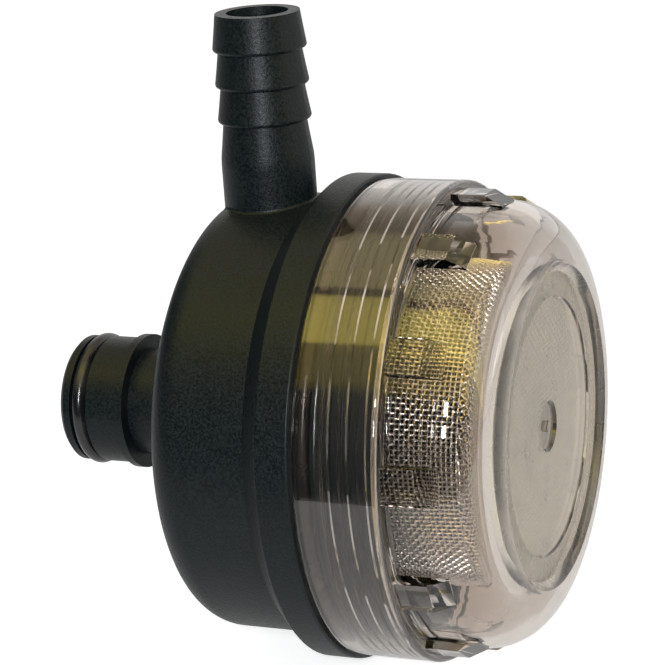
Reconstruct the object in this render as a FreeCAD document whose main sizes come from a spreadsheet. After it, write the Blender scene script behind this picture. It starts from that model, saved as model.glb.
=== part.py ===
"""Twist-off sea water strainer for the inlet of a small pump.

One black moulding carries the hose barb, the domed chamber, the threaded neck and
the snap-in port. A clear cover screws over the neck, and a woven steel cup stands
between them. Millimetres. +X runs from the port to the cover, +Z up along the barb,
and the origin is on the port's axis at the rear face of its retaining flange.
"""

import FreeCAD, Part
import math
import os
import re

import Sketcher
from FreeCAD import Placement, Rotation, Vector

doc = FreeCAD.newDocument("sea_water_strainer")

# ------------------------------------------------------------------ driving sizes

SIZES = {
    # snap-in port
    "port_radius": 10.5,
    "port_length": 10.5,
    "port_bore_radius": 6.5,
    "port_chamfer": 0.7,
    "port_seal_setback": 7.1,
    "port_seal_section": 2.4,
    "port_seal_proud": 0.48,
    "flange_height": 0.67,
    "flange_thickness": 1.4,
    "port_wall": 2.4,
    "port_neck_length": 15.6,
    "port_neck_fillet": 1.5,
    # domed chamber and its ring
    "dome_radius": 35.6,
    "dome_corner": 5.5,
    "wall": 2.6,
    "ring_height": 3.4,
    "ring_width": 5.3,
    "ring_slope": 3.5,
    "edge_round": 0.4,
    # threaded neck, with its surface midway between thread root and crest
    "neck_step": 0.3,
    "neck_length": 12.0,
    "neck_chamfer": 0.7,
    "cover_seal_section": 2.0,
    "cover_seal_proud": 1.0,
    "groove_play": 0.3,
    "seal_seat": 0.02,
    # collar that the open end of the screen slips over
    "collar_wall": 1.8,
    "collar_length": 11.4,
    "collar_foot_length": 2.7,
    "collar_foot_height": 1.6,
    # hose barb
    "barb_clearance": 0.67,
    "barb_back": 1.67,
    "barb_rise": 30.0,
    "barb_bore_radius": 4.93,
    "barb_wall": 1.72,
    "barb_tip_wall": 1.79,
    "barb_lip": 0.87,
    "barb_lead": 5.9,
    "barb_pitch": 5.65,
    "barb_count": 3,
    "barb_round": 0.5,
    "tube_wall": 2.5,
    "tube_rise": 6.8,
    "tube_shoulder_round": 12.0,
    "tube_fillet": 0.5,
    # clear cover
    "thread_gap": 0.9,
    "cover_gap": 0.3,
    "skirt_wall": 2.1,
    "skirt_round": 0.35,
    "neck_end_gap": 0.4,
    "shoulder_wall": 1.4,
    "shoulder_step": 2.9,
    "shoulder_round": 0.7,
    "bowl_length": 15.7,
    "bowl_wall": 2.3,
    "bowl_corner": 9.3,
    "seal_recess_gap": 0.35,
    "seal_recess_length": 3.2,
    "face_rim_width": 0.5,
    "face_recess": 1.3,
    "face_slope": 1.2,
    "face_band_width": 3.8,
    "face_step": 0.3,
    "face_wall": 2.2,
    "gate_radius": 4.1,
    "gate_depth": 0.5,
    "gate_nub_radius": 0.9,
    # finger lugs on the cover
    "lug_count": 12,
    "lug_phase": 26.5,
    "lug_width": 5.7,
    "lug_length": 8.4,
    "lug_height": 1.7,
    "lug_nose": 3.0,
    # woven screen and the band that binds its open edge
    "screen_space": 8.5,
    "screen_taper": 4.5,
    "screen_straight": 1.0,
    "taper_under_collar": 3.0,
    "screen_thickness": 0.6,
    "screen_corner": 2.5,
    "screen_end_gap": 1.8,
    "band_skin": 0.25,
    "band_length": 4.4,
    "band_play": 0.02,
    "slide_gap": 0.35,
    "seat_gap": 0.3,
}

sheet = doc.addObject("Spreadsheet::Sheet", "Sizes")
for row, (alias, value) in enumerate(SIZES.items(), start=1):
    sheet.set(f"A{row}", alias)
    sheet.set(f"B{row}", str(value))
    sheet.setAlias(f"B{row}", alias)
doc.recompute()

# ------------------------------------------------------- places worked out from them

PORT_TIP = "-port_length"
FLANGE_RADIUS = "(port_radius + flange_height)"
PORT_NECK = "(port_bore_radius + port_wall)"
PORT_SEAL_RADIUS = "(port_radius + port_seal_proud - port_seal_section / 2)"
PORT_SEAL_FLOOR = f"({PORT_SEAL_RADIUS} - port_seal_section / 2 - seal_seat)"
PORT_SEAL_HALF = "(port_seal_section / 2 + groove_play)"
BACK = "(flange_thickness + port_neck_length)"
BARB_TOP = "(dome_radius + barb_rise)"
BARB_ROOT = "(barb_bore_radius + barb_wall)"
TUBE_RADIUS = "(barb_bore_radius + tube_wall)"
BARB_AXIS = f"({BACK} + barb_back + {TUBE_RADIUS})"
SEAT = f"({BARB_AXIS} + {TUBE_RADIUS} + barb_clearance + ring_slope + ring_width)"
DOME_BORE = "(dome_radius - wall)"
RING_RADIUS = "(dome_radius + ring_height)"
NECK_RADIUS = "(dome_radius - neck_step)"
NECK_END = f"({SEAT} + neck_length)"
SEAL_OUTER = f"({NECK_RADIUS} + cover_seal_proud)"
SEAL_FLOOR = f"({SEAL_OUTER} - cover_seal_section - seal_seat)"
SEAL_GROOVE_END = f"({SEAT} + cover_seal_section + groove_play)"

SCREEN_RADIUS = f"({DOME_BORE} - screen_space)"
SCREEN_BORE = f"({SCREEN_RADIUS} - screen_thickness)"
SCREEN_FOOT = f"({SCREEN_RADIUS} + screen_taper)"
FOOT_BORE = f"({SCREEN_FOOT} - screen_thickness)"
BAND_BORE = f"({FOOT_BORE} - band_play - band_skin)"
BAND_RADIUS = f"({SCREEN_FOOT} + band_play + band_skin)"
COLLAR_RADIUS = f"({BAND_BORE} - slide_gap)"
COLLAR_FOOT = f"({BACK} + wall + collar_foot_length)"
COLLAR_END = f"({BACK} + wall + collar_length)"
BAND_BACK = f"({COLLAR_FOOT} + seat_gap)"
BAND_FRONT = f"({BAND_BACK} + band_length)"
SCREEN_BACK = f"({BAND_BACK} + band_skin + band_play)"
TAPER_BACK = f"max({BAND_FRONT} + screen_straight; {COLLAR_END} - taper_under_collar)"

COVER_BACK = f"({SEAT} + cover_gap)"
SKIRT_BORE = f"({NECK_RADIUS} + thread_gap)"
SKIRT_RADIUS = f"({SKIRT_BORE} + skirt_wall)"
SEAL_RECESS = f"({SEAL_OUTER} + seal_recess_gap)"
SKIRT_END = f"({NECK_END} + neck_end_gap)"
SHOULDER = f"({SKIRT_END} + shoulder_wall)"
BOWL_RADIUS = f"({SKIRT_RADIUS} - shoulder_step)"
BOWL_BORE = f"({BOWL_RADIUS} - bowl_wall)"
COVER_FRONT = f"({SHOULDER} + bowl_length)"
FACE_RIM = f"({BOWL_RADIUS} - bowl_corner - face_rim_width)"
FACE_STEP = f"({FACE_RIM} - face_slope - face_band_width)"
FACE = f"({COVER_FRONT} - face_recess)"
FACE_INSIDE = f"({FACE} - face_wall)"
SCREEN_FRONT = f"({FACE_INSIDE} - screen_end_gap)"


# --------------------------------------------------------------------- helpers

ALIAS = re.compile(r"\b(" + "|".join(SIZES) + r")\b")


def bound(text):
    """The expression with each size read from the sheet."""
    return ALIAS.sub(r"Sizes.\1", text)


def value(text):
    """The expression's number, in millimetres or degrees."""
    return float(sheet.evalExpression(bound(text)))


def new_body(label):
    body = doc.addObject("PartDesign::Body", label)
    body.Label = label
    return body


def origin_plane(body, role):
    return next(f for f in body.Origin.OriginFeatures if f.Role == role)


def new_sketch(body, name, plane, shift="0", turn="0"):
    """A sketch in one of the body's planes through X: its x runs along X.

    shift moves it along X, and turn swings it about X, in degrees.
    """
    sketch = body.newObject("Sketcher::SketchObject", name)
    sketch.AttachmentSupport = [(origin_plane(body, plane), "")]
    sketch.MapMode = "FlatFace"
    sketch.AttachmentOffset = Placement(Vector(value(shift), 0, 0), Rotation(Vector(1, 0, 0), value(turn)))
    if shift != "0":
        sketch.setExpression("AttachmentOffset.Base.x", bound(shift))
    if turn != "0":
        sketch.setExpression("AttachmentOffset.Rotation.Angle", bound(turn))
    return sketch


def pin_point(sketch, geometry, point, x, y, name):
    """Hold one point at x, y by constraints that read the sheet."""
    for kind, axis, text in (("DistanceX", -2, x), ("DistanceY", -1, y)):
        if text == "0":
            sketch.addConstraint(Sketcher.Constraint("PointOnObject", geometry, point, axis))
            continue
        index = sketch.addConstraint(Sketcher.Constraint(kind, geometry, point, value(text)))
        sketch.renameConstraint(index, f"{name}_{kind[-1].lower()}")
        sketch.setExpression(f"Constraints.{name}_{kind[-1].lower()}", bound(text))


def draw_outline(sketch, corners):
    """A closed outline with every corner held, and tangent arcs where one is rounded.

    Each corner is (x, y) or (x, y, radius), and each of them is an expression.
    """
    count = len(corners)
    at = [Vector(value(c[0]), value(c[1]), 0) for c in corners]
    radius = [value(c[2]) if len(c) > 2 else 0.0 for c in corners]
    entry, leave, arcs = [], [], {}
    for i, corner in enumerate(at):
        back = (at[i - 1] - corner).normalize()
        ahead = (at[(i + 1) % count] - corner).normalize()
        half = back.getAngle(ahead) / 2
        reach = radius[i] / math.tan(half)
        entry.append(corner + back * reach)
        leave.append(corner + ahead * reach)
        if radius[i]:
            centre = corner + (back + ahead).normalize() * (radius[i] / math.sin(half))
            left_turn = back.cross(ahead).z < 0
            first, last = (entry[i], leave[i]) if left_turn else (leave[i], entry[i])
            start = math.atan2(first.y - centre.y, first.x - centre.x)
            end = math.atan2(last.y - centre.y, last.x - centre.x)
            circle = Part.Circle(centre, Vector(0, 0, 1), radius[i])
            arcs[i] = (Part.ArcOfCircle(circle, start, end if end > start else end + 2 * math.pi), left_turn)
    for i in range(count):
        sketch.addGeometry(Part.LineSegment(leave[i], entry[(i + 1) % count]), False)
    for i in range(count):
        before, after = (i - 1) % count, i
        if i not in arcs:
            sketch.addConstraint(Sketcher.Constraint("Coincident", before, 2, after, 1))
            pin_point(sketch, after, 1, corners[i][0], corners[i][1], f"p{i}")
            continue
        arc, left_turn = arcs[i]
        rounding = sketch.addGeometry(arc, False)
        apex = sketch.addGeometry(Part.Point(at[i]), True)
        arc_in, arc_out = (1, 2) if left_turn else (2, 1)
        sketch.addConstraint(Sketcher.Constraint("Tangent", before, 2, rounding, arc_in))
        sketch.addConstraint(Sketcher.Constraint("Tangent", rounding, arc_out, after, 1))
        sketch.addConstraint(Sketcher.Constraint("PointOnObject", apex, 1, before))
        sketch.addConstraint(Sketcher.Constraint("PointOnObject", apex, 1, after))
        pin_point(sketch, apex, 1, corners[i][0], corners[i][1], f"p{i}")
        index = sketch.addConstraint(Sketcher.Constraint("Radius", rounding, radius[i]))
        sketch.renameConstraint(index, f"p{i}_r")
        sketch.setExpression(f"Constraints.p{i}_r", bound(corners[i][2]))


def full_turn(body, kind, name, sketch, axis, corners):
    """A full turn of an outline about one of its sketch's axes, added or cut away."""
    draw_outline(sketch, corners)
    feature = body.newObject(kind, name)
    feature.Profile = sketch
    feature.ReferenceAxis = (sketch, [axis])
    feature.Angle = 360
    doc.recompute()
    return feature


def turned_about_x(body, kind, name, corners):
    """An outline of length and radius turned about X, with its seam at the side, clear of the barb."""
    sketch = new_sketch(body, f"{name}_outline", "XY_Plane")
    return full_turn(body, kind, name, sketch, "H_Axis", corners)


def turned_about_barb(body, kind, name, corners):
    """An outline of radius and height turned about the barb's upright axis."""
    sketch = new_sketch(body, f"{name}_outline", "XZ_Plane", shift=BARB_AXIS)
    return full_turn(body, kind, name, sketch, "V_Axis", corners)


def ring(label, x, radius, section):
    """An O-ring about the X axis."""
    torus = doc.addObject("Part::Torus", label)
    torus.Label = label
    torus.Placement = Placement(Vector(value(x), 0, 0), Rotation(Vector(0, 1, 0), 90))
    torus.setExpression("Placement.Base.x", bound(x))
    torus.setExpression("Radius1", bound(radius))
    torus.setExpression("Radius2", bound(f"{section} / 2"))
    return torus


# --------------------------------------------------------------------- housing

def port_outline():
    """The spigot, its seal groove, the retaining flange and the neck behind it."""
    groove_back = f"-port_seal_setback - {PORT_SEAL_HALF}"
    groove_front = f"-port_seal_setback + {PORT_SEAL_HALF}"
    return [
        (PORT_TIP, "0"),
        (PORT_TIP, "port_radius - port_chamfer"),
        (f"{PORT_TIP} + port_chamfer", "port_radius"),
        (groove_back, "port_radius"),
        (groove_back, PORT_SEAL_FLOOR),
        (groove_front, PORT_SEAL_FLOOR),
        (groove_front, "port_radius"),
        ("0", "port_radius"),
        ("0", FLANGE_RADIUS),
        ("flange_thickness", FLANGE_RADIUS),
        ("flange_thickness", PORT_NECK),
    ]


def shell_outline():
    """The dome's back, its side, the raised ring and the neck that the cover screws on."""
    return [
        (BACK, PORT_NECK, "port_neck_fillet"),
        (BACK, "dome_radius", "dome_corner"),
        (f"{SEAT} - ring_width - ring_slope", "dome_radius"),
        (f"{SEAT} - ring_width", RING_RADIUS, "edge_round"),
        (SEAT, RING_RADIUS, "edge_round"),
        (SEAT, SEAL_FLOOR),
        (SEAL_GROOVE_END, SEAL_FLOOR),
        (SEAL_GROOVE_END, NECK_RADIUS),
        (f"{NECK_END} - neck_chamfer", NECK_RADIUS),
        (NECK_END, f"{NECK_RADIUS} - neck_chamfer"),
        (NECK_END, "0"),
    ]


def barb_outline():
    """Half of the tube and its barbs, as radius and height, from inside the dome's wall."""
    count = int(value("barb_count"))
    lips = [f"({BARB_TOP} - barb_lead - {count - 1 - k} * barb_pitch)" for k in range(count)]
    corners = [
        ("0", "dome_radius - 2 * wall"),
        (TUBE_RADIUS, "dome_radius - 2 * wall"),
        (TUBE_RADIUS, "dome_radius + tube_rise", "tube_shoulder_round"),
    ]
    for lip in lips:
        corners.append((BARB_ROOT, lip))
        corners.append((f"{BARB_ROOT} + barb_lip", lip, "barb_round"))
    return corners + [("barb_bore_radius + barb_tip_wall", BARB_TOP), ("0", BARB_TOP)]


def chamber_outline():
    """What is open inside: the port's bore, the collar's bore and the space round the collar."""
    inner_back = f"{BACK} + wall"
    past_port = f"{PORT_TIP} - wall"
    past_neck = f"{NECK_END} + wall"
    return [
        (past_port, "0"),
        (past_port, "port_bore_radius"),
        (inner_back, "port_bore_radius"),
        (inner_back, f"{COLLAR_RADIUS} - collar_wall"),
        (COLLAR_END, f"{COLLAR_RADIUS} - collar_wall"),
        (COLLAR_END, COLLAR_RADIUS),
        (COLLAR_FOOT, COLLAR_RADIUS),
        (COLLAR_FOOT, f"{COLLAR_RADIUS} + collar_foot_height"),
        (inner_back, f"{COLLAR_RADIUS} + collar_foot_height"),
        (inner_back, DOME_BORE, "dome_corner - wall"),
        (past_neck, DOME_BORE),
        (past_neck, "0"),
    ]


def barb_root_edges(shape):
    """The edges where the barb's tube meets the outside of the dome."""
    axis_x, tube, dome = value(BARB_AXIS), value(TUBE_RADIUS), value("dome_radius")
    found = []
    for number, edge in enumerate(shape.Edges, start=1):
        points = edge.discretize(7)
        on_tube = all(abs(math.hypot(p.x - axis_x, p.y) - tube) < 0.01 for p in points)
        outside = all(dome - value("dome_corner") < math.hypot(p.y, p.z) < dome + 0.01 for p in points)
        if on_tube and outside:
            found.append(f"Edge{number}")
    return found


housing = new_body("housing")
turned_about_x(housing, "PartDesign::Revolution", "housing_shell", port_outline() + shell_outline())
barb = turned_about_barb(housing, "PartDesign::Revolution", "housing_barb", barb_outline())
blend = housing.newObject("PartDesign::Fillet", "barb_root_fillet")
blend.Base = (barb, barb_root_edges(barb.Shape))
blend.setExpression("Radius", bound("tube_fillet"))
doc.recompute()
turned_about_x(housing, "PartDesign::Groove", "chamber", chamber_outline())
turned_about_barb(
    housing,
    "PartDesign::Groove",
    "barb_bore",
    [
        ("0", f"({DOME_BORE} + {COLLAR_RADIUS}) / 2"),
        ("barb_bore_radius", f"({DOME_BORE} + {COLLAR_RADIUS}) / 2"),
        ("barb_bore_radius", f"{BARB_TOP} + wall"),
        ("0", f"{BARB_TOP} + wall"),
    ],
)

port_seal = ring("port_o_ring", "-port_seal_setback", PORT_SEAL_RADIUS, "port_seal_section")
cover_seal = ring(
    "cover_o_ring",
    f"{SEAT} + (cover_seal_section + groove_play) / 2",
    f"({SEAL_OUTER} - cover_seal_section / 2)",
    "cover_seal_section",
)


# ----------------------------------------------------------------------- cover

def cover_outline():
    """The skirt, the shoulder, the bowl and its moulded face, then back along the inside."""
    step = f"({FACE} - face_step)"
    return [
        (COVER_BACK, SEAL_RECESS),
        (COVER_BACK, SKIRT_RADIUS, "skirt_round"),
        (SHOULDER, SKIRT_RADIUS, "shoulder_round"),
        (SHOULDER, BOWL_RADIUS, "shoulder_round"),
        (COVER_FRONT, BOWL_RADIUS, "bowl_corner"),
        (COVER_FRONT, FACE_RIM),
        (FACE, f"{FACE_RIM} - face_slope"),
        (FACE, FACE_STEP),
        (step, f"{FACE_STEP} - face_step"),
        (step, "gate_radius"),
        (f"{step} - gate_depth", "gate_radius - gate_depth"),
        (f"{step} - gate_depth", "gate_nub_radius"),
        (step, "gate_nub_radius"),
        (step, "0"),
        (FACE_INSIDE, "0"),
        (FACE_INSIDE, BOWL_BORE, "bowl_corner - bowl_wall"),
        (SKIRT_END, BOWL_BORE, "shoulder_round"),
        (SKIRT_END, SKIRT_BORE),
        (f"{COVER_BACK} + seal_recess_length", SKIRT_BORE),
        (f"{COVER_BACK} + seal_recess_length", SEAL_RECESS),
    ]


cover = new_body("cover")
turned_about_x(cover, "PartDesign::Revolution", "cover_shell", cover_outline())
lug_sketch = new_sketch(cover, "lug_outline", "XZ_Plane", turn="lug_phase")
lug_floor = f"({BOWL_RADIUS} - bowl_wall / 2)"
lug_top = f"({BOWL_RADIUS} + lug_height)"
draw_outline(
    lug_sketch,
    [
        (f"{SHOULDER} - shoulder_wall / 2", lug_floor),
        (f"{SHOULDER} + lug_length", lug_floor),
        (f"{SHOULDER} + lug_length", BOWL_RADIUS),
        (f"{SHOULDER} + lug_length - lug_nose", lug_top),
        (f"{SHOULDER} - shoulder_wall / 2", lug_top),
    ],
)
lug = cover.newObject("PartDesign::Pad", "lug")
lug.Profile = lug_sketch
lug.Midplane = True
lug.setExpression("Length", bound("lug_width"))
doc.recompute()
lugs = cover.newObject("PartDesign::PolarPattern", "lugs")
lugs.Originals = [lug]
lugs.Axis = (origin_plane(cover, "X_Axis"), [""])
lugs.Angle = 360
lugs.Occurrences = int(value("lug_count"))
cover.Tip = lugs
doc.recompute()


# ---------------------------------------------------------------------- screen

screen = new_body("screen_mesh")
turned_about_x(
    screen,
    "PartDesign::Revolution",
    "screen_cup",
    [
        (SCREEN_BACK, FOOT_BORE),
        (SCREEN_BACK, SCREEN_FOOT),
        (TAPER_BACK, SCREEN_FOOT),
        (SCREEN_FRONT, SCREEN_RADIUS, "screen_corner"),
        (SCREEN_FRONT, "0"),
        (f"{SCREEN_FRONT} - screen_thickness", "0"),
        (f"{SCREEN_FRONT} - screen_thickness", SCREEN_BORE, "screen_corner - screen_thickness"),
        (TAPER_BACK, FOOT_BORE),
    ],
)

band = new_body("screen_band")
turned_about_x(
    band,
    "PartDesign::Revolution",
    "band_fold",
    [
        (BAND_BACK, BAND_BORE),
        (BAND_BACK, BAND_RADIUS),
        (BAND_FRONT, BAND_RADIUS),
        (BAND_FRONT, f"{SCREEN_FOOT} + band_play"),
        (f"{BAND_BACK} + band_skin", f"{SCREEN_FOOT} + band_play"),
        (f"{BAND_BACK} + band_skin", f"{FOOT_BORE} - band_play"),
        (BAND_FRONT, f"{FOOT_BORE} - band_play"),
        (BAND_FRONT, BAND_BORE),
    ],
)

# ------------------------------------------------------------- checks and export

doc.recompute()
for item in doc.Objects:
    if {"Invalid", "Error"} & set(item.State):
        raise RuntimeError(f"{item.Label} failed: {item.State}")
    if item.TypeId == "Sketcher::SketchObject" and not item.FullyConstrained:
        raise RuntimeError(f"{item.Label} isn't fully constrained")

PIECES = [housing, port_seal, cover_seal, cover, screen, band]
for piece in PIECES:
    if piece.Shape.isNull() or not piece.Shape.isValid():
        raise RuntimeError(f"{piece.Label} has no valid shape")

os.makedirs("parts", exist_ok=True)
for piece in PIECES:
    piece.Shape.exportStep(f"parts/{piece.Label}.step")
    box = piece.Shape.BoundBox
    print(
        f"{piece.Label}: {piece.Shape.Volume / 1000:.2f} cm3, {len(piece.Shape.Solids)} solid, "
        f"X {box.XMin:.2f} to {box.XMax:.2f}, Z {box.ZMin:.2f} to {box.ZMax:.2f}"
    )
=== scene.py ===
"""Twist-off sea water strainer: woven cup, screw thread, finishes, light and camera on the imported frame.

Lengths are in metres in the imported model's own frame: +X runs from the snap-in port to the
clear cover, and +Z up along the hose barb. Sizes whose names end in _mm are in millimetres,
as a drawing would give them, and MM turns them into metres where points are made.
"""

import logging
import math
from dataclasses import dataclass
from enum import Enum
from typing import Any

import bpy
import numpy as np
from mathutils import Matrix, Vector


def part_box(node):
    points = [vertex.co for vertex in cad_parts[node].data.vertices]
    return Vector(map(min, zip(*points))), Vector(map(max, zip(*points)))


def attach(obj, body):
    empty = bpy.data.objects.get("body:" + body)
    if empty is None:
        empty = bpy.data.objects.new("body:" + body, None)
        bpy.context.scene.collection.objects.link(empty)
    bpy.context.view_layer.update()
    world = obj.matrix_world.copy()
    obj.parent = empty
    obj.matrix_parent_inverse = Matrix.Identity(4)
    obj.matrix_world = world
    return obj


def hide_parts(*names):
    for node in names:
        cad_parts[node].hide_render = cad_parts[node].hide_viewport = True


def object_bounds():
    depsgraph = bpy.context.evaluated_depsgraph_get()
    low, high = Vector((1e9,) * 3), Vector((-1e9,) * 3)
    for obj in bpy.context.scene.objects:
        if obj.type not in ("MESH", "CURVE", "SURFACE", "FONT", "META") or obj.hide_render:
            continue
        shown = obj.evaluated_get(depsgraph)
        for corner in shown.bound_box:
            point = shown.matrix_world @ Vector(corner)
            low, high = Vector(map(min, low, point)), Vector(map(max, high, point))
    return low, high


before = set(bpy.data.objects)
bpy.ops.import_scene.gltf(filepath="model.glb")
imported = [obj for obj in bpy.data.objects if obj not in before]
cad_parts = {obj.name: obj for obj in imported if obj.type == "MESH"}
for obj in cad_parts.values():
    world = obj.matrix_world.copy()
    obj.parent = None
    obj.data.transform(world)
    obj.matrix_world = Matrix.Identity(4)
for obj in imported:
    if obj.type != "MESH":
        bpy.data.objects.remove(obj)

CAD_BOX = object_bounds()
LOG = logging.getLogger("strainer")
MM = 0.001
TURN = 2.0 * math.pi
SHARP_EDGE = math.radians(50.0)
WHITE = (1.0, 1.0, 1.0, 1.0)
Colour = tuple[float, float, float]
Surface = tuple[np.ndarray, list[list[int]]]


class Body(Enum):
    """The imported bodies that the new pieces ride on."""

    HOUSING = "housing"
    SCREEN = "screen"


class Slot(Enum):
    """The record's material slot names, which the new pieces here are not given."""

    MOULDING = "housing_plastic"
    WIRE = "screen_steel"


# ----------------------------------------------------------------- shader graphs


class Signal:
    """One output socket, on which sums are written as in ordinary Python."""

    def __init__(self, graph: "Graph", socket: bpy.types.NodeSocket | None) -> None:
        """Keeps the graph and the socket, which an output node doesn't have."""
        self.graph = graph
        self.socket = socket

    def math(self, operation: str, *others: "Signal | float") -> "Signal":
        """Puts the value through a Math node.

        Args:
            operation: The Math node's operation.
            others: Its further values or links.

        Returns:
            The result.
        """
        inputs = dict(enumerate((self, *others)))
        return self.graph.node("ShaderNodeMath", {"operation": operation}, inputs)

    def __add__(self, other: "Signal | float") -> "Signal":
        """self + other."""
        return self.math("ADD", other)

    __radd__ = __add__

    def __mul__(self, other: "Signal | float") -> "Signal":
        """self * other."""
        return self.math("MULTIPLY", other)

    __rmul__ = __mul__

    def __sub__(self, other: "Signal | float") -> "Signal":
        """self - other."""
        return self.math("SUBTRACT", other)

    def __rsub__(self, other: float) -> "Signal":
        """other - self."""
        return (self * -1.0) + other

    def __truediv__(self, other: "Signal | float") -> "Signal":
        """self / other."""
        return self.math("DIVIDE", other)

    def between(self, low: float, high: float) -> "Signal":
        """Maps low to high onto 0 to 1 along a smooth step.

        Args:
            low: The value that becomes 0.
            high: The value that becomes 1.

        Returns:
            The step, held at 0 and 1 outside.
        """
        settings = {"interpolation_type": "SMOOTHSTEP"}
        inputs = {"Value": self, "From Min": low, "From Max": high}
        return self.graph.node("ShaderNodeMapRange", settings, inputs)

    def above(self, edge: float, soft: float) -> "Signal":
        """0 up to an edge, and 1 past a soft step that starts there."""
        return self.between(edge, edge + soft)

    def below(self, edge: float, soft: float) -> "Signal":
        """1 up to a soft step that ends at an edge, and 0 past it."""
        return 1.0 - self.between(edge - soft, edge)


class Graph:
    """The node tree of a material or of the world."""

    def __init__(self, owner: bpy.types.Material | bpy.types.World) -> None:
        """Empties a node tree.

        Args:
            owner: What the tree belongs to.
        """
        self.owner = owner
        owner.use_nodes = True
        self.tree = owner.node_tree
        self.tree.nodes.clear()

    @classmethod
    def of_material(cls, name: str) -> "Graph":
        """Starts an empty material of that name."""
        return cls(bpy.data.materials.new(name))

    def node(
        self,
        kind: str,
        settings: dict[str, Any] | None = None,
        inputs: dict[str | int, Any] | None = None,
        output: str | int = 0,
    ) -> Signal:
        """Adds a node.

        Args:
            kind: The node's type.
            settings: Its properties, set before anything else; "stops" fills a ramp.
            inputs: A value or a Signal for each socket, by name or number.
            output: The socket that is handed back.

        Returns:
            That output.
        """
        made = self.tree.nodes.new(kind)
        for key, value in (settings or {}).items():
            if key == "stops":
                self.fill_ramp(made.color_ramp, value)
            else:
                setattr(made, key, value)
        for key, value in (inputs or {}).items():
            if isinstance(value, Signal):
                self.tree.links.new(value.socket, made.inputs[key])
            else:
                made.inputs[key].default_value = value
        return Signal(self, made.outputs[output] if len(made.outputs) else None)

    @staticmethod
    def fill_ramp(ramp: bpy.types.ColorRamp, stops: tuple[tuple[float, Colour], ...]) -> None:
        """Sets a colour ramp's stops.

        Args:
            ramp: The ramp.
            stops: Each stop's place and colour.
        """
        while len(ramp.elements) < len(stops):
            ramp.elements.new(1.0)
        for element, (place, colour) in zip(ramp.elements, stops):
            element.position = place
            element.color = (*colour, 1.0)

    def point(self) -> Signal:
        """The place on the object, in metres."""
        return self.node("ShaderNodeTexCoord", output="Object")

    def axes(self, vector: Signal) -> tuple[Signal, Signal, Signal]:
        """The three parts of a vector.

        Args:
            vector: The vector.

        Returns:
            Its X, Y and Z.
        """
        first = self.node("ShaderNodeSeparateXYZ", inputs={0: vector})
        outputs = first.socket.node.outputs
        return first, Signal(self, outputs[1]), Signal(self, outputs[2])

    def noise(self, vector: Signal, scale: float, detail: float = 2.0, rough: float = 0.5) -> Signal:
        """Noise from 0 to 1.

        Args:
            vector: Where it is read.
            scale: Features in a metre.
            detail: Octaves.
            rough: How strong the fine octaves are.

        Returns:
            The noise.
        """
        inputs = {"Vector": vector, "Scale": scale, "Detail": detail, "Roughness": rough}
        return self.node("ShaderNodeTexNoise", inputs=inputs)

    def mixed(self, factor: Signal, first: "Signal | Colour", second: "Signal | Colour") -> Signal:
        """A colour between two.

        Args:
            factor: 0 for the first, 1 for the second.
            first: A colour.
            second: Another.

        Returns:
            The mix.
        """
        ends = [end if isinstance(end, Signal) else (*end, 1.0) for end in (first, second)]
        inputs = {0: factor, 6: ends[0], 7: ends[1]}
        return self.node("ShaderNodeMix", {"data_type": "RGBA"}, inputs, output=2)

    def bump(self, height: Signal, distance: float, strength: float = 1.0) -> Signal:
        """A surface normal tilted by a height.

        Args:
            height: The height, in units of distance.
            distance: Metres that a height of 1 stands for.
            strength: The share of the tilt that is used.

        Returns:
            The normal.
        """
        inputs = {"Height": height, "Distance": distance, "Strength": strength}
        return self.node("ShaderNodeBump", inputs=inputs)

    def principled(self, **inputs: Any) -> Signal:
        """A Principled shader, with underscores in its inputs' names read as spaces."""
        named = {key.replace("_", " "): value for key, value in inputs.items()}
        return self.node("ShaderNodeBsdfPrincipled", inputs=named)

    def done(self, surface: Signal) -> bpy.types.Material:
        """Joins the shader to the output and hands the material back."""
        self.node("ShaderNodeOutputMaterial", inputs={"Surface": surface})
        return self.owner


# --------------------------------------------------------------------- finishes


@dataclass(frozen=True)
class MouldedBlack:
    """Black nylon moulding with a fine spark-eroded grain and a slightly uneven sheen.

    Clouds are slow changes of colour and sheen, and specks are the grain's own lighter tops.
    """

    name: str = "moulded_black"
    deep: Colour = (0.0014, 0.0028, 0.0038)
    worn: Colour = (0.0100, 0.0145, 0.0155)
    clouds_per_m: float = 70.0
    specks_per_m: float = 2800.0
    speck_edges: tuple[float, float] = (0.35, 0.65)
    speck_share: float = 0.7
    grain_per_m: float = 1900.0
    grain_depth: float = 0.00006
    rough: float = 0.30
    cloud_rough: float = 0.10
    speck_rough: float = 0.12
    specular: float = 0.20

    def material(self) -> bpy.types.Material:
        """Builds the material.

        Returns:
            The material.
        """
        g = Graph.of_material(self.name)
        at = g.point()
        cloud = g.noise(at, self.clouds_per_m, detail=3.0)
        grain = g.noise(at, self.grain_per_m, detail=3.0, rough=0.6)
        speck = g.noise(at, self.specks_per_m, rough=0.6).between(*self.speck_edges)
        paler = cloud * (1.0 - self.speck_share) + speck * self.speck_share
        return g.done(
            g.principled(
                Base_Color=g.mixed(paler, self.deep, self.worn),
                Roughness=self.rough + self.cloud_rough * cloud + self.speck_rough * speck,
                Normal=g.bump(grain, self.grain_depth),
                Specular_IOR_Level=self.specular,
            )
        )


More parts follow.
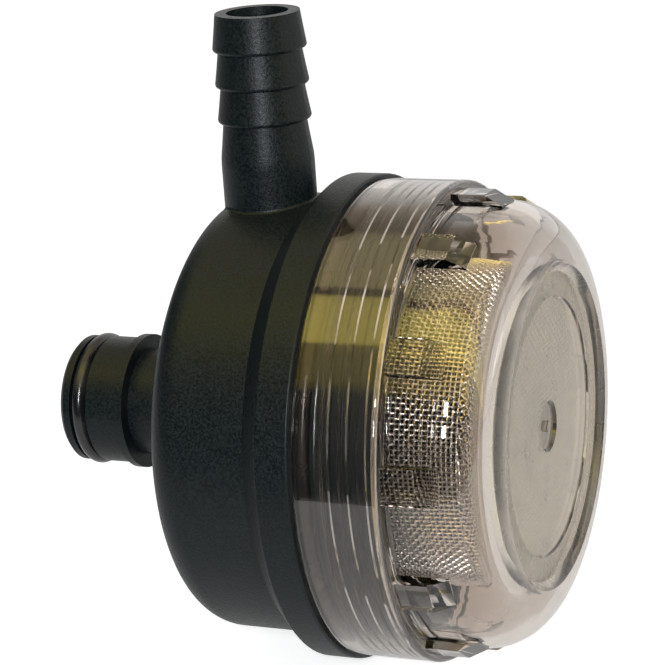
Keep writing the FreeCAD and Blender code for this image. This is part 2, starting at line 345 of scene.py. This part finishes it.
@dataclass(frozen=True)
class Nitrile:
    """Smooth black nitrile rubber with a faint bloom."""

    name: str = "nitrile"
    deep: Colour = (0.0075, 0.0075, 0.008)
    bloom: Colour = (0.022, 0.021, 0.020)
    clouds_per_m: float = 220.0
    cloud_edges: tuple[float, float] = (0.4, 0.75)
    fine_per_m: float = 5200.0
    fine_depth: float = 0.000006
    rough: float = 0.20
    cloud_rough: float = 0.14

    def material(self) -> bpy.types.Material:
        """Builds the material.

        Returns:
            The material.
        """
        g = Graph.of_material(self.name)
        at = g.point()
        cloud = g.noise(at, self.clouds_per_m, detail=3.0).between(*self.cloud_edges)
        fine = g.noise(at, self.fine_per_m)
        return g.done(
            g.principled(
                Base_Color=g.mixed(cloud, self.deep, self.bloom),
                Roughness=self.rough + self.cloud_rough * cloud,
                Normal=g.bump(fine, self.fine_depth, strength=0.6),
            )
        )


@dataclass(frozen=True)
class SmokedClear:
    """Clear moulding with a rose smoke, a thread in its skirt's bore and a matt band on its face.

    Sizes are radii or places along X in millimetres, and a soft size is the width of a step.
    The face is what lies past inside_mm and within the band's outer edge: the smoke is warmer
    there and a little milky. Round the gate in its middle the colour is darker, as painted shade for the
    gate's recess.
    """

    name: str = "smoked_clear"
    tint: Colour = (0.715, 0.640, 0.580)
    face_tint: Colour = (0.700, 0.622, 0.495)
    # painted shade: a darker glass colour round the gate, standing in for the dark look of its recess
    gate_painted_shade: Colour = (0.36, 0.31, 0.24)
    milk: Colour = (0.50, 0.43, 0.33)
    milk_share: float = 0.03
    milk_cloud: float = 0.05
    shade: Colour = (0.90, 0.86, 0.83)
    index: float = 1.57
    rough: float = 0.012
    haze_rough: float = 0.02
    band_rough: float = 0.26
    thread_rough: float = 0.13
    haze_per_m: float = 260.0
    haze_edges: tuple[float, float] = (0.45, 0.85)
    waves_per_m: float = 90.0
    wave_mm: float = 0.02
    ridge_mm: float = 0.65
    ridge_rise: tuple[float, float] = (0.20, 0.34)
    ridge_fall: tuple[float, float] = (0.66, 0.80)
    pitch_mm: float = 3.0
    bore_mm: float = 36.2
    bore_near_mm: tuple[float, float] = (0.05, 0.2)
    bore_inside_mm: tuple[float, float] = (0.3, 0.5)
    thread_mm: tuple[float, float] = (47.2, 55.0)
    thread_soft_mm: float = 0.6
    skirt_soft_mm: float = 0.8
    inside_mm: float = 68.8
    face_mm: float = 70.0
    face_soft_mm: float = 0.1
    band_mm: tuple[float, float] = (20.4, 25.6)
    band_soft_mm: float = 0.3
    rim_soft_mm: float = 0.8
    gate_mm: float = 4.0
    gate_soft_mm: float = 0.6

    def ridges(self, x: Signal, y: Signal, z: Signal, radius: Signal) -> Signal:
        """The thread's height on the skirt's bore.

        A point's phase is its x over the pitch less its angle about X over a turn, so that a
        line of equal phase is the helix, and the ridge is a smooth pulse once in each phase.

        Args:
            x: Place along the part, in millimetres, as the others are.
            y: Place across it.
            z: Place up it.
            radius: Distance from its axis.

        Returns:
            The height, from 0 to 1.
        """
        phase = (x / self.pitch_mm - z.math("ARCTAN2", y) / TURN).math("FRACT")
        pulse = phase.between(*self.ridge_rise) * (1.0 - phase.between(*self.ridge_fall))
        start, end = self.thread_mm
        along = x.above(start, self.thread_soft_mm) * x.below(end, self.thread_soft_mm)
        off = (radius - self.bore_mm).math("ABSOLUTE").between(*self.bore_near_mm)
        return pulse * along * (1.0 - off)

    def matt(self, x: Signal, radius: Signal) -> Signal:
        """1 on the face's band, which is left matt from the mould.

        Args:
            x: Place along the part, in millimetres, as the radius is.
            radius: Distance from its axis.

        Returns:
            The mask.
        """
        low, high = self.band_mm
        band = radius.above(low, self.band_soft_mm) * (1.0 - radius.above(high, self.band_soft_mm))
        return band * x.above(self.face_mm, self.face_soft_mm)

    def threaded(self, x: Signal, radius: Signal) -> Signal:
        """1 on the skirt's bore, which the thread's tool leaves less glossy.

        Args:
            x: Place along the part, in millimetres, as the radius is.
            radius: Distance from its axis.

        Returns:
            The mask.
        """
        low, high = (self.bore_mm + edge for edge in self.bore_inside_mm)
        return (1.0 - radius.between(low, high)) * (1.0 - x.above(self.thread_mm[1], self.skirt_soft_mm))

    def material(self) -> bpy.types.Material:
        """Builds the material; lamps reach what is behind it through a Transparent shader.

        Returns:
            The material.
        """
        g = Graph.of_material(self.name)
        at = g.point()
        x, y, z = (part / MM for part in g.axes(at))
        radius = (y * y + z * z).math("SQRT")
        haze = g.noise(at, self.haze_per_m, detail=3.0).between(*self.haze_edges)
        face = x.above(self.inside_mm, self.face_soft_mm) * radius.below(self.band_mm[1], self.rim_soft_mm)
        # Round the gate the colour is darkened: painted shade for the gate's recess, mixed over the
        # smoke's own colour
        gate = face * radius.below(self.gate_mm, self.gate_soft_mm)
        smoke_and_gate_shade = g.mixed(gate, g.mixed(face, self.tint, self.face_tint), self.gate_painted_shade)
        matt = self.band_rough * self.matt(x, radius) + self.thread_rough * self.threaded(x, radius)
        wave = self.wave_mm * g.noise(at, self.waves_per_m, detail=1.0)
        height = self.ridge_mm * self.ridges(x, y, z, radius) + wave
        glass = g.principled(
            Base_Color=smoke_and_gate_shade,
            Roughness=self.rough + self.haze_rough * haze + matt,
            Transmission_Weight=1.0,
            IOR=self.index,
            Normal=g.bump(height, MM),
        )
        milk = g.node("ShaderNodeBsdfDiffuse", inputs={"Color": (*self.milk, 1.0)})
        milky = face * (self.milk_share + self.milk_cloud * haze)
        body = g.node("ShaderNodeMixShader", inputs={0: milky, 1: glass, 2: milk})
        lamps = g.node("ShaderNodeBsdfTransparent", inputs={"Color": (*self.shade, 1.0)})
        shadow = g.node("ShaderNodeLightPath", output="Is Shadow Ray")
        return g.done(g.node("ShaderNodeMixShader", inputs={0: shadow, 1: body, 2: lamps}))


@dataclass(frozen=True)
class DrawnWire:
    """Bright stainless wire, a little darker and warmer where it has been handled."""

    name: str = "drawn_wire"
    bright: Colour = (0.90, 0.91, 0.93)
    dull: Colour = (0.44, 0.42, 0.40)
    stains_per_m: float = 150.0
    stain_edges: tuple[float, float] = (0.45, 0.8)
    fine_per_m: float = 6000.0
    fine_depth: float = 0.000003
    rough: float = 0.20
    stain_rough: float = 0.14

    def material(self) -> bpy.types.Material:
        """Builds the material.

        Returns:
            The material.
        """
        g = Graph.of_material(self.name)
        at = g.point()
        stain = g.noise(at, self.stains_per_m, detail=4.0, rough=0.6).between(*self.stain_edges)
        fine = g.noise(at, self.fine_per_m)
        return g.done(
            g.principled(
                Base_Color=g.mixed(stain, self.bright, self.dull),
                Metallic=1.0,
                Roughness=self.rough + self.stain_rough * stain,
                Normal=g.bump(fine, self.fine_depth, strength=0.6),
            )
        )


@dataclass(frozen=True)
class FoldedStrip:
    """Stainless strip with rolling marks that run round the cup.

    The marks are noise that is squeezed along X, so that it changes fast there and slowly
    round the cup.
    """

    name: str = "folded_strip"
    bright: Colour = (0.62, 0.61, 0.59)
    dull: Colour = (0.40, 0.385, 0.36)
    lines_per_m: float = 140.0
    lines_squeeze: float = 60.0
    line_depth: float = 0.00001
    stains_per_m: float = 180.0
    stain_edges: tuple[float, float] = (0.4, 0.8)
    rough: float = 0.26
    line_rough: float = 0.18

    def material(self) -> bpy.types.Material:
        """Builds the material.

        Returns:
            The material.
        """
        g = Graph.of_material(self.name)
        at = g.point()
        x, y, z = g.axes(at)
        squeezed = g.node("ShaderNodeCombineXYZ", inputs={0: x * self.lines_squeeze, 1: y, 2: z})
        lines = g.noise(squeezed, self.lines_per_m, detail=3.0)
        stain = g.noise(at, self.stains_per_m, detail=3.0).between(*self.stain_edges)
        return g.done(
            g.principled(
                Base_Color=g.mixed(stain, self.bright, self.dull),
                Metallic=1.0,
                Roughness=self.rough + self.line_rough * lines,
                Normal=g.bump(lines, self.line_depth, strength=0.5),
            )
        )


# ---------------------------------------------------------------------- surfaces


def tube_arrays(path: np.ndarray, outward: np.ndarray, radius: float, sides: int, closed: bool) -> Surface:
    """A round tube along each of several paths.

    A ring's point is the path's point plus radius times (cos a times the side vector plus
    sin a times the lift vector). The side vector is the tangent crossed with the outward
    direction, and the lift vector is the side vector crossed with the tangent.

    Args:
        path: Points, as wires by rings by 3.
        outward: The surface's outward direction at each.
        radius: The wire's radius.
        sides: Points in a ring.
        closed: True if each path runs back into its start.

    Returns:
        The vertices, and the faces as lists of indices.
    """
    wires, rings = path.shape[:2]
    if closed:
        tangent = np.roll(path, -1, 1) - np.roll(path, 1, 1)
    else:
        tangent = np.gradient(path, axis=1)
    tangent /= np.linalg.norm(tangent, axis=-1, keepdims=True)
    side = np.cross(tangent, outward)
    side /= np.linalg.norm(side, axis=-1, keepdims=True)
    lift = np.cross(side, tangent)
    angle = np.arange(sides) * TURN / sides
    ring = np.cos(angle)[:, None] * side[:, :, None] + np.sin(angle)[:, None] * lift[:, :, None]
    points = path[:, :, None] + radius * ring
    index = np.arange(wires * rings * sides).reshape(wires, rings, sides)
    along = np.roll(index, -1, 1) if closed else index[:, 1:]
    here = index if closed else index[:, :-1]
    quads = np.stack([here, along, np.roll(along, -1, 2), np.roll(here, -1, 2)], -1).reshape(-1, 4)
    faces = quads.tolist()
    if not closed:
        faces += index[:, 0].tolist() + index[:, -1, ::-1].tolist()
    return points.reshape(-1, 3), faces


def solid(
    name: str,
    parts: list[Surface],
    material: bpy.types.Material,
    body: Body,
) -> bpy.types.Object:
    """Puts worked-out surfaces into one piece and rides it on its body.

    Args:
        name: The piece's name.
        parts: Vertices and faces of each surface in it.
        material: Its finish.
        body: What it moves with.

    Returns:
        The piece.
    """
    vertices, faces, start = [], [], 0
    for points, polygons in parts:
        vertices.append(points)
        faces += [[i + start for i in polygon] for polygon in polygons] if start else polygons
        start += len(points)
    mesh = bpy.data.meshes.new(name)
    mesh.from_pydata(np.concatenate(vertices).tolist(), [], faces)
    mesh.validate()
    mesh.shade_smooth()
    mesh.set_sharp_from_angle(angle=SHARP_EDGE)
    mesh.materials.append(material)
    piece = bpy.data.objects.new(name, mesh)
    bpy.context.scene.collection.objects.link(piece)
    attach(piece, body.value)
    LOG.info("%s: %d faces on %s", name, len(mesh.polygons), body.value)
    return piece


def dress(node: str, material: bpy.types.Material) -> None:
    """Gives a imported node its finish.

    Args:
        node: The node's name.
        material: The finish.
    """
    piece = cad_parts[node]
    for place in range(len(piece.material_slots)):
        piece.material_slots[place].material = material
    if not piece.material_slots:
        piece.data.materials.append(material)
    LOG.info("%s: dressed in %s", node, material.name)


# ------------------------------------------------------------------ sub-assemblies


@dataclass
class ThreadRidge:
    """One helical ridge with run-ins, standing out from a round wall.

    root_mm and crest_mm are the section's widths, sunk_mm is how deep its foot is in the wall,
    low_mm is how deep its crest is at the ends, and run_in is a part of a turn.
    """

    wall_mm: float
    height_mm: float
    start_mm: float
    turns: float
    pitch_mm: float = 3.0
    root_mm: float = 1.7
    crest_mm: float = 0.7
    sunk_mm: float = 0.25
    low_mm: float = 0.06
    run_in: float = 0.12
    steps: int = 120

    def surface(self) -> Surface:
        """Works the ridge out.

        x is the start plus the pitch times the angle over a turn, and the angle is
        right-handed about +X. The section is a trapezium from below the wall up to the crest,
        and the crest comes up out of the wall along a smooth step over the run-in at each end.

        Returns:
            Its vertices and faces.
        """
        count = int(self.steps * self.turns) + 1
        angle = np.linspace(0.0, TURN * self.turns, count)
        rise = np.clip(np.minimum(angle, angle[-1] - angle) / (TURN * self.run_in), 0.0, 1.0)
        rise = rise * rise * (3.0 - 2.0 * rise)
        crest = self.wall_mm - self.low_mm + (self.height_mm + self.low_mm) * rise
        base = np.full(count, self.wall_mm - self.sunk_mm)
        radius = np.stack([base, crest, crest, base], 1)
        shift = np.array([-self.root_mm, -self.crest_mm, self.crest_mm, self.root_mm]) / 2.0
        x = self.start_mm + self.pitch_mm * angle[:, None] / TURN + shift
        cos, sin = np.cos(angle)[:, None], np.sin(angle)[:, None]
        points = np.stack([x, radius * cos, radius * sin], -1) * MM
        index = np.arange(count * 4).reshape(count, 4)
        here, along = index[:-1], index[1:]
        quads = np.stack([here, along, np.roll(along, -1, 1), np.roll(here, -1, 1)], -1).reshape(-1, 4)
        return points.reshape(-1, 3), quads.tolist() + [index[0].tolist(), index[-1, ::-1].tolist()]


@dataclass
class Housing:
    """The black moulding with its barb and port, its two O-rings and the thread on its neck."""

    neck_mm: float = 35.3
    thread_height_mm: float = 0.62
    thread_start_mm: float = 46.75
    thread_turns: float = 2.3

    def build(self) -> None:
        """Dresses the moulding and its seals, and lays the thread on its neck."""
        moulded, rubber = MouldedBlack().material(), Nitrile().material()
        dress("housing", moulded)
        dress("port_o_ring", rubber)
        dress("cover_o_ring", rubber)
        ridge = ThreadRidge(self.neck_mm, self.thread_height_mm, self.thread_start_mm, self.thread_turns)
        solid("neck_thread", [ridge.surface()], moulded, Body.HOUSING)


@dataclass
class CupProfile:
    """The middle of the cup's wall, from the axis out over the end, round the corner and back.

    The first four sizes are the outer surface's: where the end, the open edge and the taper's
    back lie along X, and the straight part's radius. taper_mm is how much smaller the tip is.
    """

    front_mm: float
    back_mm: float
    taper_back_mm: float
    foot_mm: float
    taper_mm: float = 4.5
    corner_mm: float = 2.5
    half_wall_mm: float = 0.3
    arc_steps: int = 40

    def __post_init__(self) -> None:
        """Lays out the end's line, the corner's arc, the tapered line and the straight.

        The corner's arc touches the end and the taper. So it turns by a right angle less the
        taper's slope, and it starts nearer the axis than the tip by its radius times the
        tangent of half that turn.
        """
        front, foot = self.front_mm - self.half_wall_mm, self.foot_mm - self.half_wall_mm
        tip = foot - self.taper_mm
        slope = math.atan2(self.taper_mm, self.front_mm - self.taper_back_mm)
        bend, turn = self.corner_mm - self.half_wall_mm, math.pi / 2.0 - slope
        flat = tip - bend * math.tan(turn / 2.0)
        t = np.linspace(0.0, turn, self.arc_steps)
        arc = np.stack([front - bend + bend * np.cos(t), flat + bend * np.sin(t)], 1)
        tail = np.array([[self.taper_back_mm, foot], [self.back_mm, foot]])
        self.points = np.concatenate([[[front, 0.0]], arc, tail])
        round_corner = np.stack([np.cos(t), np.sin(t)], 1)
        self.normals = np.concatenate([[[1.0, 0.0]], round_corner, [round_corner[-1], [0.0, 1.0]]])
        steps = np.linalg.norm(np.diff(self.points, axis=0), axis=1)
        self.length = np.concatenate([[0.0], np.cumsum(steps)])
        self.seam = self.length[self.arc_steps]

    def at(self, length: np.ndarray, angle: np.ndarray, lift: np.ndarray) -> tuple[np.ndarray, np.ndarray]:
        """Places on the cup.

        The length along the profile gives x, the radius r and the profile's normal. The place
        is (x, r cos angle, r sin angle) plus the lift times the normal turned the same way.

        Args:
            length: Distance along the profile from the axis.
            angle: Right-handed about +X, from +Y.
            lift: Height off the wall's middle.

        Returns:
            The places in metres, and the outward directions.
        """
        x, r = (np.interp(length, self.length, self.points[:, k]) for k in (0, 1))
        nx, nr = (np.interp(length, self.length, self.normals[:, k]) for k in (0, 1))
        cos, sin = np.cos(angle), np.sin(angle)
        outward = np.stack([nx, nr * cos, nr * sin], -1)
        place = np.stack([x, r * cos, r * sin], -1) + lift[..., None] * outward
        return place * MM, outward


@dataclass
class WovenCup:
    """A plain-woven stainless cup: a tapered wall, and an end pressed over at its edge.

    wire_mm is the wire's radius, rise_mm how far it swings off the wall's middle, tuck_mm how
    far the wires stop short of the open edge, and straight_mm the straight wall past the band.
    """

    wires_round: int = 208
    pitch_mm: float = 0.77
    wire_mm: float = 0.16
    rise_mm: float = 0.14
    sides: int = 6
    tuck_mm: float = 0.1
    straight_mm: float = 1.0
    shortest: int = 3

    def profile(self) -> CupProfile:
        """The wall's profile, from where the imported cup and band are.

        Returns:
            The profile.
        """
        low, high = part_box("screen_mesh")
        _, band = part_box("screen_band")
        return CupProfile(
            front_mm=high[0] / MM,
            back_mm=low[0] / MM + self.tuck_mm,
            taper_back_mm=band[0] / MM + self.straight_mm,
            foot_mm=high[2] / MM,
        )

    def wall_wires(self, cup: CupProfile) -> tuple[np.ndarray, np.ndarray]:
        """The wires that run along the cup.

        Wire k stands at k turns over the number of wires. It is lifted by the rise times
        cos(pi s) times (-1)^k, where s counts the hoops passed.

        Args:
            cup: The wall's profile.

        Returns:
            The paths, and the outward directions.
        """
        count = int((cup.length[-1] - cup.seam) / (self.pitch_mm / 2.0)) + 1
        step, k = np.meshgrid(np.arange(count), np.arange(self.wires_round))
        lift = self.rise_mm * np.cos(math.pi * step / 2.0) * (-1.0) ** k
        return cup.at(cup.seam + step * self.pitch_mm / 2.0, k * TURN / self.wires_round, lift)

    def hoops(self, cup: CupProfile) -> tuple[np.ndarray, np.ndarray]:
        """The wires that run round the cup.

        Hoop j is lifted by less the rise times cos(pi w) times (-1)^j, where w counts the
        wall's wires passed, so that it goes by each of them on the other side.

        Args:
            cup: The wall's profile.

        Returns:
            The paths, and the outward directions.
        """
        rows = int((cup.length[-1] - cup.seam) / self.pitch_mm) + 1
        step, row = np.meshgrid(np.arange(2 * self.wires_round), np.arange(rows))
        lift = -self.rise_mm * np.cos(math.pi * step / 2.0) * (-1.0) ** row
        return cup.at(cup.seam + row * self.pitch_mm, step * TURN / (2 * self.wires_round), lift)

    def end_wires(self, cup: CupProfile, across: bool) -> list[Surface]:
        """One set of the end's wires, pressed over the corner.

        A wire is a straight line on the flat sheet, in half-pitch steps, and is lifted by the
        rise times the sine of a quarter turn a step, up for one set where it is down for the
        other. A point of the sheet keeps its angle about the axis, and its distance from the
        axis becomes its length along the cup's profile. A wire of under three steps is left out.

        Args:
            cup: The wall's profile.
            across: True for the wires along Y, False for those along Z.

        Returns:
            Vertices and faces of each wire.
        """
        wires = []
        half_pitch = self.pitch_mm / 2.0
        half = int(cup.seam / self.pitch_mm - 0.5)
        for number in range(-half - 1, half + 1):
            offset = (number + 0.5) * self.pitch_mm
            steps = int(math.sqrt(max(cup.seam**2 - offset**2, 0.0)) / half_pitch)
            if steps < self.shortest:
                continue
            step = np.arange(-steps, steps + 1)
            along, fixed = step * half_pitch, np.full(len(step), offset)
            y, z = (along, fixed) if across else (fixed, along)
            sign = (1.0 if across else -1.0) * (-1.0) ** number
            lift = sign * self.rise_mm * np.sin(math.pi * step / 2.0)
            path, outward = cup.at(np.hypot(y, z), np.arctan2(z, y), lift)
            wires.append(tube_arrays(path[None], outward[None], self.wire_mm * MM, self.sides, False))
        return wires

    def build(self, steel: bpy.types.Material) -> None:
        """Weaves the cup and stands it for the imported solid.

        Args:
            steel: The wire's finish.
        """
        cup, thick, pieces = self.profile(), self.wire_mm * MM, []
        path, outward = self.wall_wires(cup)
        near = outward[:, 0, 1] < 0.0
        for label, chosen in (("near", near), ("far", ~near)):
            part = tube_arrays(path[chosen], outward[chosen], thick, self.sides, False)
            pieces.append(solid(f"screen_wall_wires_{label}", [part], steel, Body.SCREEN))
        path, outward = self.hoops(cup)
        middle = len(path) // 2
        for label, rows in (("front", slice(0, middle)), ("back", slice(middle, None))):
            part = tube_arrays(path[rows], outward[rows], thick, self.sides, True)
            pieces.append(solid(f"screen_hoops_{label}", [part], steel, Body.SCREEN))
        for label, across in (("across", True), ("up", False)):
            wires = self.end_wires(cup, across)
            pieces.append(solid(f"screen_end_wires_{label}", wires, steel, Body.SCREEN))
        for piece in pieces:
            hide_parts("screen_mesh")


@dataclass
class Screen:
    """The woven cup and the strip folded over its open edge."""

    def build(self) -> None:
        """Weaves the cup and dresses its band."""
        WovenCup().build(DrawnWire().material())
        dress("screen_band", FoldedStrip().material())


@dataclass
class Cover:
    """The clear screw-on cover."""

    def build(self) -> None:
        """Dresses the cover."""
        dress("cover", SmokedClear().material())


# ------------------------------------------------------------------------ studio


def towards(azimuth: float, elevation: float) -> Vector:
    """A direction out from the part.

    It is (sin a cos e, -cos a cos e, sin e), so that azimuth 0 is at -Y and 90 at +X.

    Args:
        azimuth: In degrees.
        elevation: In degrees above level.

    Returns:
        The unit vector.
    """
    a, e = math.radians(azimuth), math.radians(elevation)
    return Vector((math.sin(a) * math.cos(e), -math.cos(a) * math.cos(e), math.sin(e)))


@dataclass(frozen=True)
class Lamp:
    """A soft square lamp aimed at the middle of the part.

    Its place is in degrees and metres, and size is its side in metres. Its share is how bright
    white paper facing it becomes, and reflections show it only if it is mirrored.
    """

    name: str
    azimuth: float
    elevation: float
    distance: float
    size: float
    share: float
    colour: Colour
    mirrored: bool = True

    def place(self, centre: Vector) -> None:
        """Hangs the lamp, with a power of its share times pi squared times its distance squared.

        Args:
            centre: What it is aimed at.
        """
        back = towards(self.azimuth, self.elevation)
        data = bpy.data.lights.new(self.name, "AREA")
        data.shape = "SQUARE"
        data.size = self.size
        data.energy = self.share * math.pi**2 * self.distance**2
        data.color = self.colour
        lamp = bpy.data.objects.new(self.name, data)
        lamp.location = centre + back * self.distance
        lamp.visible_glossy = self.mirrored
        lamp.rotation_mode = "QUATERNION"
        lamp.rotation_quaternion = back.to_track_quat("Z", "Y")
        bpy.context.scene.collection.objects.link(lamp)
        LOG.info("%s: %.2f W at %.2f m", self.name, data.energy, self.distance)


@dataclass
class Studio:
    """A pale floor under a pale sky, the lamps, and the room that gloss and glass show.

    The floor is white paper with a glow that is only seen: camera_glow by the camera itself and
    floor_glow in gloss and glass. It ends floor_front before the part's axis, and gloss shows
    the room past that. The sky lights with the strength sky and is white to the camera. Each
    stop of the room is a place on the half circle over X, from 0 for level in front over 0.5
    for straight up to 1 for level behind, and the light's colour there. Past the port the room
    is dark: room_end is a direction's X where it is all dark, and where it has all its light.
    """

    floor_half: float = 6.0
    floor_gap: float = 0.0002
    floor_front: float = 0.13
    floor_white: float = 0.76
    floor_shade: float = 0.985
    grain_per_m: float = 40.0
    floor_glow: float = 0.34
    camera_glow: float = 0.70
    sky: float = 0.30
    room: tuple[tuple[float, Colour], ...] = (
        (0.00, (0.020, 0.030, 0.040)),
        (0.16, (0.030, 0.040, 0.045)),
        (0.19, (0.58, 0.48, 0.12)),
        (0.285, (0.62, 0.52, 0.13)),
        (0.295, (2.60, 2.20, 0.45)),
        (0.42, (2.40, 2.00, 0.50)),
        (0.43, (0.15, 0.12, 0.07)),
        (0.445, (0.15, 0.12, 0.07)),
        (0.455, (1.40, 1.20, 0.55)),
        (0.63, (1.10, 0.95, 0.55)),
        (0.65, (0.46, 0.36, 0.26)),
        (0.74, (0.60, 0.50, 0.40)),
        (0.80, (1.00, 0.98, 0.94)),
        (1.00, (1.00, 1.00, 1.00)),
    )
    room_dark: Colour = (0.045, 0.055, 0.065)
    room_end: tuple[float, float] = (-0.85, -0.50)
    lamps: tuple[Lamp, ...] = (
        Lamp(
            "overhead",
            azimuth=-23.0,
            elevation=68.0,
            distance=1.1,
            size=1.5,
            share=0.24,
            colour=(1.0, 0.94, 0.82),
            mirrored=False,
        ),
        Lamp(
            "front",
            azimuth=19.0,
            elevation=23.0,
            distance=0.8,
            size=0.085,
            share=0.46,
            colour=(0.95, 0.98, 1.0),
        ),
        Lamp(
            "low",
            azimuth=17.0,
            elevation=12.0,
            distance=0.8,
            size=0.09,
            share=0.34,
            colour=(0.88, 0.95, 1.0),
        ),
        Lamp(
            "side",
            azimuth=100.0,
            elevation=22.0,
            distance=1.0,
            size=0.6,
            share=0.10,
            colour=(0.95, 0.98, 1.0),
        ),
    )

    @staticmethod
    def rays(g: Graph) -> tuple[Signal, Signal]:
        """Tells the rays that see the surroundings from those that are only lit by them.

        Args:
            g: The graph that asks.

        Returns:
            1 for the camera's own rays, and 1 for those and all reflections and refractions.
        """
        camera = g.node("ShaderNodeLightPath", output="Is Camera Ray")
        outputs = camera.socket.node.outputs
        glossy = Signal(g, outputs["Is Glossy Ray"])
        through = Signal(g, outputs["Is Transmission Ray"])
        return camera, camera.math("MAXIMUM", glossy).math("MAXIMUM", through)

    def floor(self) -> None:
        """Lays the floor: a white that keeps shadows, with a glow where it is seen."""
        g = Graph.of_material("pale_floor")
        white = (self.floor_white,) * 3
        grey = tuple(c * self.floor_shade for c in white)
        grain = g.mixed(g.noise(g.point(), self.grain_per_m), white, grey)
        paper = g.node("ShaderNodeBsdfDiffuse", inputs={"Color": grain})
        camera, seen = self.rays(g)
        strength = seen * self.floor_glow + camera * (self.camera_glow - self.floor_glow)
        glow = g.node("ShaderNodeEmission", inputs={"Color": WHITE, "Strength": strength})
        material = g.done(g.node("ShaderNodeAddShader", inputs={0: paper, 1: glow}))
        h, front, z = self.floor_half, -self.floor_front, CAD_BOX[0][2] - self.floor_gap
        mesh = bpy.data.meshes.new("floor")
        mesh.from_pydata([(-h, front, z), (h, front, z), (h, h, z), (-h, h, z)], [], [(0, 1, 2, 3)])
        mesh.materials.append(material)
        floor = bpy.data.objects.new("floor", mesh)
        bpy.context.scene.collection.objects.link(floor)

    def world(self) -> None:
        """Makes the sky: white to the camera, the room to gloss and glass, dimmer where it lights."""
        bpy.context.scene.world = bpy.data.worlds.new("pale_sky")
        g = Graph(bpy.context.scene.world)
        along, depth, up = g.axes(g.node("ShaderNodeTexCoord", output="Generated"))
        height = up.math("ARCTAN2", depth * -1.0) / math.pi
        bands = g.node("ShaderNodeValToRGB", {"stops": self.room}, {0: height})
        room = g.mixed(along.between(*self.room_end), self.room_dark, bands)
        camera, seen = self.rays(g)
        lit, shown, white = (
            g.node("ShaderNodeBackground", inputs={"Color": colour, "Strength": strength})
            for colour, strength in ((WHITE, self.sky), (room, 1.0), (WHITE, 1.0))
        )
        around = g.node("ShaderNodeMixShader", inputs={0: seen, 1: lit, 2: shown})
        surface = g.node("ShaderNodeMixShader", inputs={0: camera, 1: around, 2: white})
        g.node("ShaderNodeOutputWorld", inputs={"Surface": surface})

    def build(self, centre: Vector) -> None:
        """Sets the whole studio.

        Args:
            centre: What the lamps are aimed at.
        """
        self.floor()
        self.world()
        for lamp in self.lamps:
            lamp.place(centre)


@dataclass
class Camera:
    """The camera: its azimuth, elevation and roll in degrees, distance in metres and lens in mm."""

    azimuth: float = 23.279
    elevation: float = 16.437
    roll: float = -3.964
    distance: float = 0.40206
    lens: float = 135.41
    sensor: float = 36.0
    clip: tuple[float, float] = (0.01, 50.0)
    target: tuple[float, float, float] = (0.035135, 0.0, 0.01360)

    def build(self) -> None:
        """Makes the scene's camera, turned about its line of sight by the roll."""
        back = towards(self.azimuth, self.elevation)
        level = (-back).cross(Vector((0.0, 0.0, 1.0))).normalized()
        upright = level.cross(-back)
        cos, sin = math.cos(math.radians(self.roll)), math.sin(math.radians(self.roll))
        right, up = cos * level + sin * upright, cos * upright - sin * level
        data = bpy.data.cameras.new("camera")
        data.lens, data.sensor_width = self.lens, self.sensor
        data.clip_start, data.clip_end = self.clip
        camera = bpy.data.objects.new("camera", data)
        turned = Matrix((right, up, back)).transposed().to_4x4()
        camera.matrix_world = Matrix.Translation(Vector(self.target) + back * self.distance) @ turned
        bpy.context.scene.collection.objects.link(camera)
        bpy.context.scene.camera = camera


def main() -> None:
    """Builds the part's sub-assemblies, the studio and the camera in turn."""
    logging.basicConfig(level=logging.INFO, format="%(message)s")
    bpy.context.scene.view_settings.view_transform = "Standard"
    Housing().build()
    Screen().build()
    Cover().build()
    low, high = CAD_BOX
    Studio().build((Vector(low) + Vector(high)) / 2.0)
    Camera().build()


if __name__ == "__main__":
    main()
